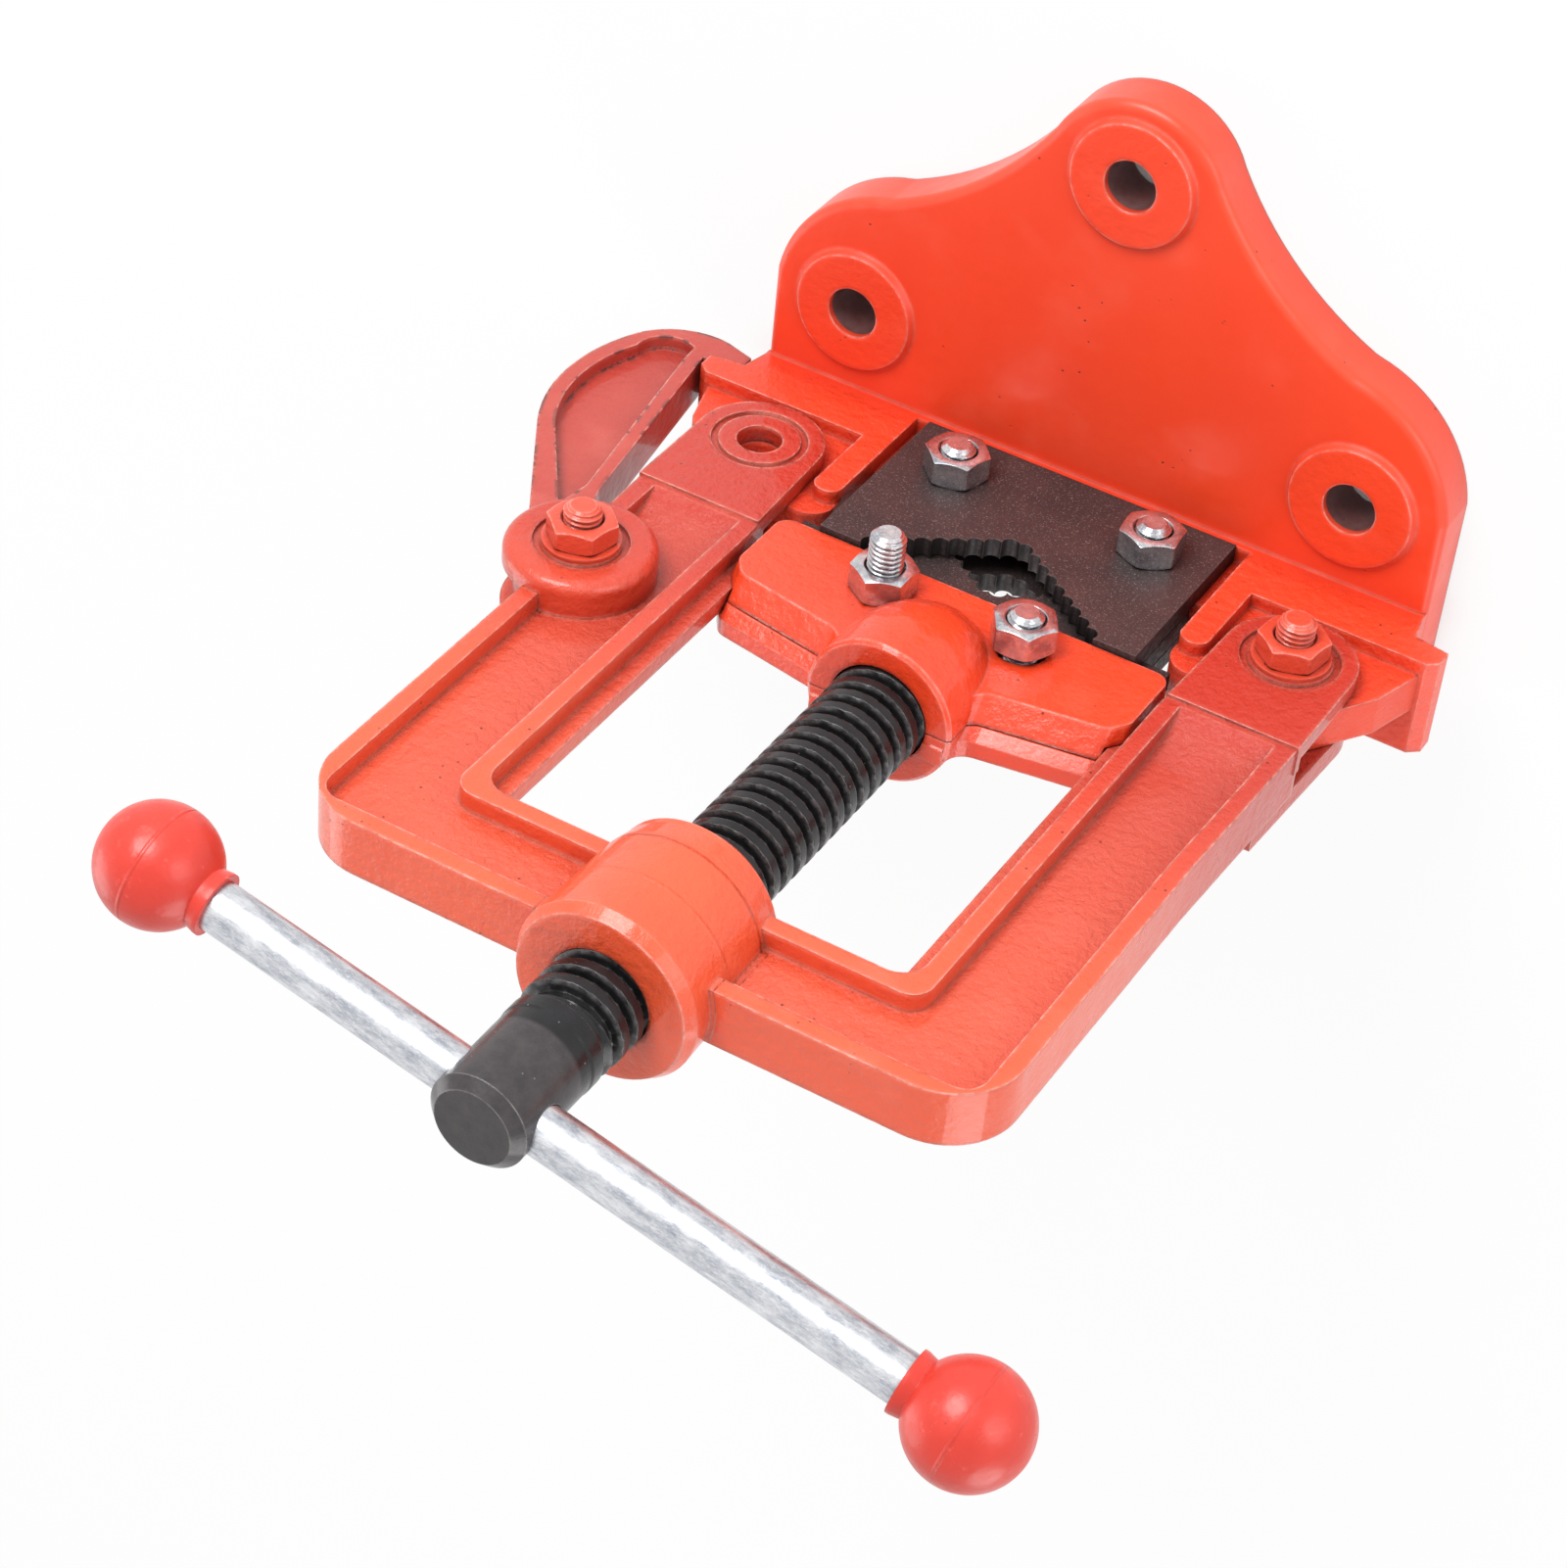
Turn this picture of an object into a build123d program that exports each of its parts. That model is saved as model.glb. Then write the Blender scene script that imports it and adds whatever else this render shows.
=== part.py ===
from build123d import *
import os
from math import cos, sin, radians, sqrt, hypot

os.makedirs("parts", exist_ok=True)

# Hinged pipe vise in millimetres. The mounting face of the base lies on Z = 0, +Z runs up the lead
# screw, the pipe lies along Y, and the yoke stands in the plane Y = 0. The latch is on the +X side
# and the hinge bolt on the -X side.

# Base flange and its three bolt holes
flange_thick = 12.0
flange_half_width = 82.0
flange_back = 17.6
flange_tip = 100.5
hole_dia = 12.0
side_hole_x = 61.0
side_hole_y = -26.0
top_hole_y = -82.0
boss_rad = 15.0
boss_rise = 1.5
tip_lobe_half_width = 19.5
tip_lobe_depth = 12.5
waist_x, waist_y = 35.5, -69.0
ear_lobe_x, ear_lobe_y = 56.0, -56.0
ear_lobe_mid_x, ear_lobe_mid_y = 74.2, -45.6
ear_lobe_end_y = -29.0
flange_round = 2.0
waist_round = 8.0

# Base body above the flange, with a hook lug at each end
body_front = 6.3
shoulder_top = 27.6
lug_out = 91.5
lug_top = 25.4
lug_root_x = 83.4
lug_slope_x = 84.5
lug_slope_z = 40.0
lug_corner_x = 88.0
plate_bay_half = 41.5
plate_bay_floor = 14.3
cheek_top = 57.0
cheek_round = 6.0
cheek_front = 3.0
cheek_back = 6.3
web_top = 33.5
wall_wide = 6.7
wall_top = 51.0

# Yoke hinge
pivot_x = 65.0
pivot_z = 44.0
pivot_bolt_dia = 8.4
spare_hole_dia = 10.2
pivot_fit = 0.1
ear_rad = 14.5
ear_half = 7.2
ear_zone_top = 70.6
ear_clear = 0.3
fork_reach = 28.5
ear_ring_rad = 10.8
ear_ring_wide = 1.6
ear_ring_deep = 0.8
fork_back_wall = 5.4
fork_back_top = 84.0

# Yoke frame
yoke_half = 6.6
yoke_out = 77.8
flare_z = 118.0
yoke_top = 202.4
window_top = 177.7
window_half = 49.0
window_round = 6.0
rib_wide = 4.2
web_half = 2.2
rail_half = 1.95
rail_deep = 4.0
rail_start = 76.0
corner_rad = 16.0
pocket_slope_low = 71.5
pocket_slope_high = 87.0
pocket_round = 5.0
hub_rad = 20.2
hub_low = 173.0
hub_high = 210.0
hub_collar_rad = 18.4
hub_round = 2.5

# Lead screw, with its plain journal in the moving jaw
screw_rad = 11.0
screw_pitch = 5.0
screw_fit = 0.05
journal_rad = 8.0
journal_low = 82.6
thrust_z = 92.0
thrust_gap = 0.1
groove_rad = 6.4
lip_half = 1.5
lip_z = 86.6
lip_gap = 0.25
groove_gap = 0.3
thrust_washer_thick = 2.0
thrust_washer_gap = 0.15
thread_end = 221.0
collar_rad = 10.7
head_low = 229.0
head_rad = 10.5
head_end = 252.6
head_chamfer = 2.2

# Tommy bar and its two ball knobs
bar_rad = 5.25
bar_z = 243.75
bar_fit = 0.1
bar_turn = -12.6
ball_rad = 12.45
ball_far = 103.5
ball_near = 78.6
bar_into_ball = 3.0
skirt_rad = 6.7
skirt_neck = 6.3
skirt_end = 13.6

# Jaw plates: two fixed ones astride a web, one moving plate between them
plate_thick = 4.5
plate_gap = 0.3
plate_half_width = 38.2
plate_low = 14.6
plate_high = 63.2
vee_half_width = 28.0
vee_depth = 20.0
tooth_pitch = 3.75
tooth_rad = 2.0
plate_bolt_x = 24.0
plate_bolt_z = 28.6
moving_low = 36.0
moving_shoulder_z = 58.0
moving_side_gap = 0.5
moving_high = 80.0

# Moving jaw: a front and a rear casting clamped on the plate, each with two wings and half a dome
wing_side_gap = 1.4
wing_low = 63.6
wing_face = 5.6
wing_back = 6.6
wing_middle_z = 95.8
wing_end_z = 90.8
wing_corner_z = 86.4
wing_slope = 4.3
wing_draft = 0.5
wing_round = 3.5
wing_root_round = 5.0
back_ridge_rise = 2.6
back_ridge_deep = 2.5
seam_gap = 0.3
moving_bolt_x = 16.8
moving_bolt_z = 73.5
open_hole_rad = 5.8
dome_rad = 17.0
dome_high = 104.0
dome_start = 69.8
dome_foot = 4.5
dome_mid_rad = 12.6
dome_mid_z = 78.5
dome_shoulder = 96.0
dome_lip = 0.8

# M8 fasteners of the jaws, and the two pivot bolts
m8_rad = 4.0
m8_flat = 13.0
m8_nut_high = 6.5
m8_head_high = 5.3
pivot_nut_flat = 13.8
pivot_nut_high = 5.0
nut_fit = 0.05
hole_fit = 0.25
washer_rad = 8.6
washer_thick = 1.0
hinge_bolt_past_nut = 4.5
latch_bolt_past_nut = 3.2
fixed_bolt_past_nut = 1.5
long_bolt_past_nut = 8.5
raised_nut = 1.6

# Latch hook on the left arm
latch_x = 73.8
latch_z = 103.0
latch_half = 5.0
latch_web_half = 1.6
latch_rim = 3.8
latch_inner_rib = 3.2
latch_eye = 14.0
latch_boss_rad = 16.6
latch_boss_half = 10.5
latch_boss_round = 2.5
latch_ring_rad = 10.4
latch_clear = 0.3
latch_slot_gap = 1.2
hook_seat_z = 19.0
hook_clear = 0.3
hook_tip_x = 84.4
hook_tip_drop = 4.0
hook_throat_x = 93.4
hook_shank_x, hook_shank_drop = 84.5, 24.1
hook_under_x, hook_under_drop = 91.7, 6.2
hook_heel_x, hook_heel_drop = 104.4, 3.6
hook_back_x, hook_back_rise = 111.8, 5.7
hook_out_x, hook_out_rise = 115.5, 24.5
hook_arm_x, hook_arm_drop = 109.4, 37.5
hook_neck_x, hook_neck_drop = 92.6, 8.9
hook_pocket_x, hook_pocket_rise = 97.0, 0.2

# Worked out from the values above
flare_out = pivot_x + ear_rad
yoke_flare = flare_out - yoke_out
rail_in = window_half - rail_deep
rail_side = rail_in - moving_side_gap
wing_half = window_half - wing_side_gap
fork_front = cheek_front + ear_clear
fork_back = cheek_back + ear_clear
ear_back = fork_back + fork_back_wall
pivot_bolt_rad = pivot_bolt_dia / 2
plate_inner = plate_thick / 2 + plate_gap
plate_outer = plate_inner + plate_thick
wing_inner = plate_thick / 2
fork_wall = latch_half + latch_clear
hook_reach = latch_z - hook_seat_z
lug_reach = hook_reach - hook_clear
hook_tip_low = hook_seat_z - hook_tip_drop
hook_shank_z = latch_z - hook_shank_drop
hook_under_z = hook_seat_z - hook_under_drop
hook_heel_z = hook_seat_z - hook_heel_drop
hook_back_z = hook_seat_z + hook_back_rise
hook_out_z = hook_seat_z + hook_out_rise
hook_arm_z = latch_z - hook_arm_drop
hook_neck_z = latch_z - hook_neck_drop
bar_way = (cos(radians(bar_turn)), sin(radians(bar_turn)), 0)


def hook_arc_z(x, reach):
    """Height of the arc about the latch pivot, below it, at a given x."""
    return latch_z - sqrt(reach**2 - (x - latch_x) ** 2)


def both_sides(points):
    """Outline points of the +X half, followed by their mirror images in order."""
    return points + [(-x, y) for x, y in reversed(points)]


# Base casting
half_outline_y = -(flange_tip - tip_lobe_depth)
with BuildPart() as base_casting:
    with BuildSketch(Plane.XY) as flange_outline:
        with BuildLine():
            ThreePointArc(
                (-tip_lobe_half_width, half_outline_y), (0, -flange_tip), (tip_lobe_half_width, half_outline_y)
            )
            ThreePointArc((tip_lobe_half_width, half_outline_y), (waist_x, waist_y), (ear_lobe_x, ear_lobe_y))
            ThreePointArc(
                (ear_lobe_x, ear_lobe_y), (ear_lobe_mid_x, ear_lobe_mid_y), (flange_half_width, ear_lobe_end_y)
            )
            Polyline(both_sides([(flange_half_width, ear_lobe_end_y), (flange_half_width, flange_back)]))
            ThreePointArc(
                (-flange_half_width, ear_lobe_end_y), (-ear_lobe_mid_x, ear_lobe_mid_y), (-ear_lobe_x, ear_lobe_y)
            )
            ThreePointArc((-ear_lobe_x, ear_lobe_y), (-waist_x, waist_y), (-tip_lobe_half_width, half_outline_y))
        make_face()
        waist_corners = flange_outline.vertices().filter_by(lambda v: v.Y < ear_lobe_y + 1)
        fillet(waist_corners, waist_round)
    extrude(amount=flange_thick)
    front_edges = base_casting.edges().group_by(Axis.Z)[-1].filter_by(lambda e: e.center().Y < 0)
    fillet(front_edges, flange_round)
    with BuildSketch(Plane.XY.offset(flange_thick)):
        with Locations((side_hole_x, side_hole_y), (-side_hole_x, side_hole_y), (0, top_hole_y)):
            Circle(boss_rad)
    extrude(amount=boss_rise, taper=30)
    # Shoulders with the two hook lugs, and the bay for the jaw plates between them
    with BuildSketch(Plane.XZ.offset(body_front)):
        lug_mid_x = (lug_root_x + lug_out) / 2
        for side in (1, -1):
            with BuildLine():
                Polyline(
                    (side * plate_bay_half, flange_thick - 1),
                    (side * flange_half_width, flange_thick - 1),
                    (side * flange_half_width, flange_thick + 1),
                    (side * lug_root_x, hook_arc_z(lug_root_x, lug_reach)),
                )
                ThreePointArc(
                    (side * lug_root_x, hook_arc_z(lug_root_x, lug_reach)),
                    (side * lug_mid_x, hook_arc_z(lug_mid_x, lug_reach)),
                    (side * lug_out, hook_arc_z(lug_out, lug_reach)),
                )
                Polyline(
                    (side * lug_out, hook_arc_z(lug_out, lug_reach)),
                    (side * lug_out, lug_top),
                    (side * (lug_out - 2.5), shoulder_top),
                    (side * plate_bay_half, shoulder_top),
                    (side * plate_bay_half, flange_thick - 1),
                )
            make_face()
    extrude(amount=-(body_front + flange_back))
    with BuildSketch(Plane.XZ.offset(body_front)):
        with Locations((0, plate_bay_floor / 2)):
            Rectangle(2 * plate_bay_half, plate_bay_floor)
    extrude(amount=-(body_front + flange_back))
    # Web between the fixed plates, and the cheeks that the yoke forks straddle
    with BuildSketch(Plane.XZ) as web_face:
        with Locations((0, (flange_thick + web_top) / 2)):
            Rectangle(2 * plate_bay_half, web_top - flange_thick)
        with Locations((plate_bolt_x, plate_bolt_z), (-plate_bolt_x, plate_bolt_z)):
            Circle(m8_rad + hole_fit, mode=Mode.SUBTRACT)
    extrude(amount=plate_inner, both=True)
    for side in (1, -1):
        with BuildSketch(Plane.XZ) as cheek_face:
            with BuildLine():
                cheek = Polyline(
                    (side * plate_bay_half, flange_thick),
                    (side * plate_bay_half, cheek_top),
                    (side * (pivot_x + 0.6 * ear_rad), cheek_top),
                    (side * lug_slope_x, lug_slope_z),
                    (side * lug_corner_x, shoulder_top),
                    (side * (pivot_x + ear_rad), flange_thick),
                    close=True,
                )
            make_face()
            fillet(cheek_face.vertices().group_by(Axis.Y)[-1], cheek_round)
        extrude(amount=cheek_front)
        with BuildSketch(Plane.XZ):
            add(cheek_face.sketch)
        extrude(amount=-cheek_back)
        with BuildSketch(Plane.XZ.offset(body_front)) as wall_face:
            with Locations((side * (plate_bay_half + wall_wide / 2), (flange_thick + wall_top) / 2)):
                Rectangle(wall_wide, wall_top - flange_thick)
            fillet(wall_face.vertices().group_by(Axis.Y)[-1], wall_wide / 2 - 0.2)
        extrude(amount=-2 * body_front)
    with Locations(Plane.XZ):
        with Locations((pivot_x, pivot_z)):
            Cylinder(spare_hole_dia / 2, 6 * ear_half, mode=Mode.SUBTRACT)
        with Locations((-pivot_x, pivot_z)):
            Cylinder(pivot_bolt_rad + pivot_fit, 6 * ear_half, mode=Mode.SUBTRACT)
    with Locations((side_hole_x, side_hole_y), (-side_hole_x, side_hole_y), (0, top_hole_y)):
        Cylinder(hole_dia / 2, 6 * flange_thick, mode=Mode.SUBTRACT)
base_casting.part.label = "base_casting"
export_step(base_casting.part, "parts/base_casting.step")


def toothed_flank(x0, z0, x1, z1):
    """Centres of the rounded gullets along one side of a vee."""
    length = hypot(x1 - x0, z1 - z0)
    count = int(length / tooth_pitch)
    return [
        (x0 + (x1 - x0) * (k + 0.5) / count, z0 + (z1 - z0) * (k + 0.5) / count) for k in range(count)
    ]


# Fixed jaw plates: a toothed vee open towards +Z
vee_low = plate_high - vee_depth
fixed_gullets = toothed_flank(vee_half_width, plate_high, 0, vee_low) + toothed_flank(
    0, vee_low, -vee_half_width, plate_high
)
for side, plate_name in ((1, "front_fixed_jaw"), (-1, "rear_fixed_jaw")):
    with BuildPart() as fixed_plate:
        with BuildSketch(Plane.XZ.offset(side * plate_inner)):
            with BuildLine():
                Polyline(
                    both_sides(
                        [
                            (0, vee_low),
                            (vee_half_width, plate_high),
                            (plate_half_width, plate_high),
                            (plate_half_width, plate_low),
                        ]
                    ),
                    close=True,
                )
            make_face()
            with Locations(fixed_gullets):
                Circle(tooth_rad, mode=Mode.SUBTRACT)
            with Locations((plate_bolt_x, plate_bolt_z), (-plate_bolt_x, plate_bolt_z)):
                Circle(m8_rad + hole_fit, mode=Mode.SUBTRACT)
        extrude(amount=side * plate_thick)
    fixed_plate.part.label = plate_name
    export_step(fixed_plate.part, f"parts/{plate_name}.step")

# Moving jaw plate: a toothed vee open towards the base, with shoulders over the cheeks
moving_apex = moving_low + vee_depth
with BuildPart() as moving_plate:
    with BuildSketch(Plane.XZ):
        with BuildLine():
            Polyline(
                both_sides(
                    [
                        (0, moving_apex),
                        (vee_half_width, moving_low),
                        (plate_half_width, moving_low),
                        (plate_half_width, moving_shoulder_z),
                        (rail_side, moving_shoulder_z),
                        (rail_side, moving_high),
                    ]
                ),
                close=True,
            )
        make_face()
        with Locations(
            toothed_flank(vee_half_width, moving_low, 0, moving_apex)
            + toothed_flank(0, moving_apex, -vee_half_width, moving_low)
        ):
            Circle(tooth_rad, mode=Mode.SUBTRACT)
        with Locations((moving_bolt_x, moving_bolt_z), (-moving_bolt_x, moving_bolt_z)):
            Circle(m8_rad + hole_fit, mode=Mode.SUBTRACT)
    extrude(amount=plate_thick / 2, both=True)
moving_plate.part.label = "moving_jaw_plate"
export_step(moving_plate.part, "parts/moving_jaw_plate.step")



def wing_points(lift, draft):
    """Outline points of one casting's two wings, with their +Z edge raised by lift."""
    root_x = dome_rad - 1.2
    return both_sides(
        [
            (root_x, wing_middle_z + lift + wing_root_round + 1),
            (root_x, wing_middle_z + lift),
            (rail_side - draft, wing_end_z + lift),
            (wing_half - draft, wing_corner_z + lift),
            (wing_half - draft, wing_low),
        ]
    )


# Moving jaw: a front and a rear casting, clamped on the plate with a narrow seam between them
wing_steps = {
    "moving_jaw_casting": (1, [(0, 0, 0), (wing_face, -wing_slope, wing_draft)]),
    "moving_jaw_rear": (-1, [(0, 0, 0), (back_ridge_deep, back_ridge_rise, 0), (wing_back, back_ridge_rise, 0.01)]),
}
for half_name, (face, steps) in wing_steps.items():
    with BuildPart() as jaw_half:
        for low_step, high_step in zip(steps, steps[1:]):
            for depth, lift, draft in (low_step, high_step):
                with BuildSketch(Plane.XZ.offset(face * depth)) as wing_sketch:
                    with BuildLine():
                        Polyline(wing_points(lift, draft), close=True)
                    make_face()
                    outer = wing_sketch.vertices().filter_by(lambda v: abs(v.X) > rail_side - 1)
                    fillet(outer, wing_round)
                    root = wing_sketch.vertices().filter_by(
                        lambda v: abs(abs(v.X) - dome_rad + 1.2) < 0.1 and v.Y < wing_middle_z + lift + 1
                    )
                    fillet(root, wing_root_round)
            loft(ruled=True)
        # Half of the dome that holds the screw's end
        with BuildSketch(Plane.XZ):
            with BuildLine():
                ThreePointArc(
                    (-face * dome_foot, dome_start),
                    (-face * dome_mid_rad, dome_mid_z),
                    (-face * dome_rad, dome_shoulder),
                )
                Polyline(
                    (-face * dome_rad, dome_shoulder),
                    (-face * dome_rad, dome_high - dome_lip),
                    (-face * (dome_rad - dome_lip), dome_high),
                    (0, dome_high),
                    (0, dome_start),
                    (-face * dome_foot, dome_start),
                )
            make_face()
        revolve(axis=Axis.Z, revolution_arc=180)
        # Recess for the plate, grooves for the yoke's rails beside it, and the seam
        with BuildSketch(Plane.XZ):
            with Locations((0, wing_low - 5 + (moving_high - wing_low + 5) / 2)):
                Rectangle(2 * wing_half + 2, moving_high - wing_low + 5)
            for side in (1, -1):
                with Locations((side * (rail_side + 5), wing_middle_z)):
                    Rectangle(10, 60)
        extrude(amount=wing_inner, both=True, mode=Mode.SUBTRACT)
        with BuildSketch(Plane.XZ):
            with Locations((0, wing_middle_z)):
                Rectangle(3 * wing_half, 80)
        extrude(amount=seam_gap / 2, both=True, mode=Mode.SUBTRACT)
        # Socket for the screw, with a lip that runs in the journal's groove
        with BuildSketch(Plane.XZ):
            with BuildLine():
                Polyline(
                    (0, journal_low - groove_gap),
                    (journal_rad + screw_fit, journal_low - groove_gap),
                    (journal_rad + screw_fit, lip_z - lip_half),
                    (groove_rad + lip_gap, lip_z - lip_half),
                    (groove_rad + lip_gap, lip_z + lip_half),
                    (journal_rad + screw_fit, lip_z + lip_half),
                    (journal_rad + screw_fit, thrust_z),
                    (screw_rad + 0.35, thrust_z),
                    (screw_rad + 0.35, dome_high + 1),
                    (0, dome_high + 1),
                    close=True,
                )
            make_face()
        revolve(axis=Axis.Z, mode=Mode.SUBTRACT)
        with Locations(Plane.XZ):
            with Locations((moving_bolt_x, moving_bolt_z), (-moving_bolt_x, moving_bolt_z)):
                Cylinder(m8_rad + hole_fit, 6 * dome_rad, mode=Mode.SUBTRACT)
        if face == 1:
            with BuildSketch(Plane.XZ):
                with Locations((-moving_bolt_x, moving_bolt_z)):
                    Circle(open_hole_rad)
            extrude(amount=2 * dome_rad, mode=Mode.SUBTRACT)
    jaw_half.part.label = half_name
    export_step(jaw_half.part, f"parts/{half_name}.step")

# Yoke frame
with BuildPart() as yoke_frame:
    with BuildSketch(Plane.XZ) as frame_outline:
        with BuildLine():
            Polyline(
                both_sides(
                    [
                        (pivot_x, pivot_z - 1),
                        (flare_out, pivot_z - 1),
                        (flare_out, pivot_z + ear_rad),
                        (yoke_out, flare_z),
                        (yoke_out, yoke_top),
                    ]
                ),
                close=True,
            )
        make_face()
        fillet(frame_outline.vertices().group_by(Axis.Y)[-1], corner_rad)
    extrude(amount=yoke_half, both=True)
    # Window between the arms, leaving a thin guide rail along each arm
    with BuildSketch(Plane.XZ) as window_face:
        with BuildLine():
            Polyline(
                both_sides(
                    [
                        (pivot_x - ear_rad, 0),
                        (pivot_x - ear_rad, pivot_z),
                        (window_half, rail_start),
                        (window_half, window_top),
                    ]
                ),
                close=True,
            )
        make_face()
        fillet(window_face.vertices().group_by(Axis.Y)[-1], window_round)
    extrude(amount=2 * yoke_half, both=True, mode=Mode.SUBTRACT)
    for side in (1, -1):
        with BuildSketch(Plane.XZ):
            with Locations((side * (rail_in + window_half + 1) / 2, (rail_start + window_top) / 2)):
                Rectangle(window_half + 1 - rail_in, window_top - rail_start + 1)
        extrude(amount=rail_half, both=True)
    # Recessed panels between the raised ribs, on both faces
    for face_plane in (Plane.XZ.offset(yoke_half), Plane.XZ.offset(-yoke_half)):
        depth = (yoke_half - web_half) * (-1 if face_plane.origin.Y < 0 else 1)
        with BuildSketch(face_plane) as panel:
            with BuildLine():
                Polyline(
                    both_sides(
                        [
                            (window_half + rib_wide, pocket_slope_high),
                            (yoke_out + yoke_flare * 0.6 - rib_wide, pocket_slope_high),
                            (yoke_out - rib_wide, flare_z),
                            (yoke_out - rib_wide, yoke_top - rib_wide),
                        ]
                    ),
                    close=True,
                )
            make_face()
            with Locations((0, (pocket_slope_high + window_top + rib_wide) / 2 - 5)):
                Rectangle(
                    2 * (window_half + rib_wide), window_top + rib_wide - pocket_slope_high + 10, mode=Mode.SUBTRACT
                )
            fillet(panel.vertices().filter_by(lambda v: v.Y > flare_z + 5), pocket_round)
        extrude(amount=depth, mode=Mode.SUBTRACT)
    # The panels run out in a scoop above each fork
    slope_width = yoke_out + yoke_flare * 0.6 - window_half - 2 * rib_wide
    for side in (1, -1):
        slope_x = side * (window_half + rib_wide + slope_width / 2)
        for face in (1, -1):
            with BuildSketch(Plane.YZ.offset(slope_x)):
                with BuildLine():
                    ThreePointArc(
                        (face * (yoke_half + 1), pocket_slope_low - 1),
                        (face * (web_half + 1.6), (pocket_slope_low + pocket_slope_high) / 2 - 1.5),
                        (face * web_half, pocket_slope_high),
                    )
                    Polyline(
                        (face * web_half, pocket_slope_high),
                        (face * web_half, pocket_slope_high + 0.5),
                        (face * (yoke_half + 1), pocket_slope_high + 0.5),
                        (face * (yoke_half + 1), pocket_slope_low - 1),
                    )
                make_face()
            extrude(amount=slope_width / 2, both=True, mode=Mode.SUBTRACT)
    # Fork ears with their machined rings, and the wall behind each fork slot
    ear_centres = ((pivot_x, pivot_z), (-pivot_x, pivot_z))
    with BuildSketch(Plane.XZ.offset(ear_half)):
        with Locations(ear_centres):
            Circle(ear_rad)
        for side in (1, -1):
            with BuildLine():
                Polyline(
                    (side * (pivot_x - ear_rad), pivot_z),
                    (side * (pivot_x + ear_rad), pivot_z),
                    (side * (pivot_x + ear_rad), ear_zone_top),
                    (side * (window_half + 0.4), ear_zone_top),
                    close=True,
                )
            make_face()
    extrude(amount=-ear_half)
    with BuildSketch(Plane.XZ):
        with Locations(ear_centres):
            Circle(ear_rad)
        for side in (1, -1):
            with BuildLine():
                Polyline(
                    (side * (pivot_x - ear_rad), pivot_z),
                    (side * (pivot_x + ear_rad), pivot_z),
                    (side * yoke_out, fork_back_top),
                    (side * (window_half + rib_wide), fork_back_top),
                    close=True,
                )
            make_face()
    extrude(amount=-ear_back)
    with BuildSketch(Plane.XZ.offset(ear_half)):
        with Locations(ear_centres):
            Circle(ear_ring_rad)
            Circle(ear_ring_rad - ear_ring_wide, mode=Mode.SUBTRACT)
    extrude(amount=-ear_ring_deep, mode=Mode.SUBTRACT)
    # Round boss for the latch pivot
    with BuildSketch(Plane.XZ):
        with Locations((latch_x, latch_z)):
            Circle(latch_boss_rad)
    extrude(amount=latch_boss_half, both=True)
    fillet(
        yoke_frame.edges().filter_by(GeomType.CIRCLE).filter_by(
            lambda e: abs(e.radius - latch_boss_rad) < 0.01 and abs(abs(e.center().Y) - latch_boss_half) < 0.01
        ),
        latch_boss_round,
    )
    with BuildSketch(Plane.XZ.offset(latch_boss_half)):
        with Locations((latch_x, latch_z)):
            Circle(latch_ring_rad)
            Circle(latch_ring_rad - ear_ring_wide, mode=Mode.SUBTRACT)
    extrude(amount=-ear_ring_deep, mode=Mode.SUBTRACT)
    # Hub for the lead screw
    with BuildSketch(Plane.XZ):
        with BuildLine():
            Polyline(
                (0, hub_low),
                (hub_collar_rad - hub_round, hub_low),
                (hub_collar_rad, hub_low + hub_round),
                (hub_collar_rad, hub_low + 4),
                (hub_rad - 0.8, hub_low + 9),
                (hub_rad, hub_high - hub_round),
                (hub_rad - hub_round * 0.6, hub_high),
                (0, hub_high),
                close=True,
            )
        make_face()
    revolve(axis=Axis.Z)
    with Locations((0, 0, (hub_low + hub_high) / 2)):
        Cylinder(screw_rad + screw_fit, hub_high - hub_low + 10, mode=Mode.SUBTRACT)
    # Fork slots over the base cheeks
    for amount in (fork_front, -fork_back):
        with BuildSketch(Plane.XZ):
            with Locations(ear_centres):
                Circle(fork_reach)
        extrude(amount=amount, mode=Mode.SUBTRACT)
    # Slot for the latch eye, open on the outboard side
    slot_reach = latch_boss_rad + latch_slot_gap
    with BuildSketch(Plane.XZ):
        with Locations((latch_x, latch_z)):
            Circle(latch_eye + latch_slot_gap)
        with Locations((yoke_out + slot_reach / 2, latch_z)):
            Rectangle(slot_reach, 2 * slot_reach)
    extrude(amount=fork_wall, both=True, mode=Mode.SUBTRACT)
    with Locations(Plane.XZ):
        with Locations((pivot_x, pivot_z)):
            Cylinder(spare_hole_dia / 2, 6 * ear_half, mode=Mode.SUBTRACT)
        with Locations((-pivot_x, pivot_z), (latch_x, latch_z)):
            Cylinder(pivot_bolt_rad + pivot_fit, 6 * ear_half, mode=Mode.SUBTRACT)
yoke_frame.part.label = "yoke_frame"
export_step(yoke_frame.part, "parts/yoke_frame.step")

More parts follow.
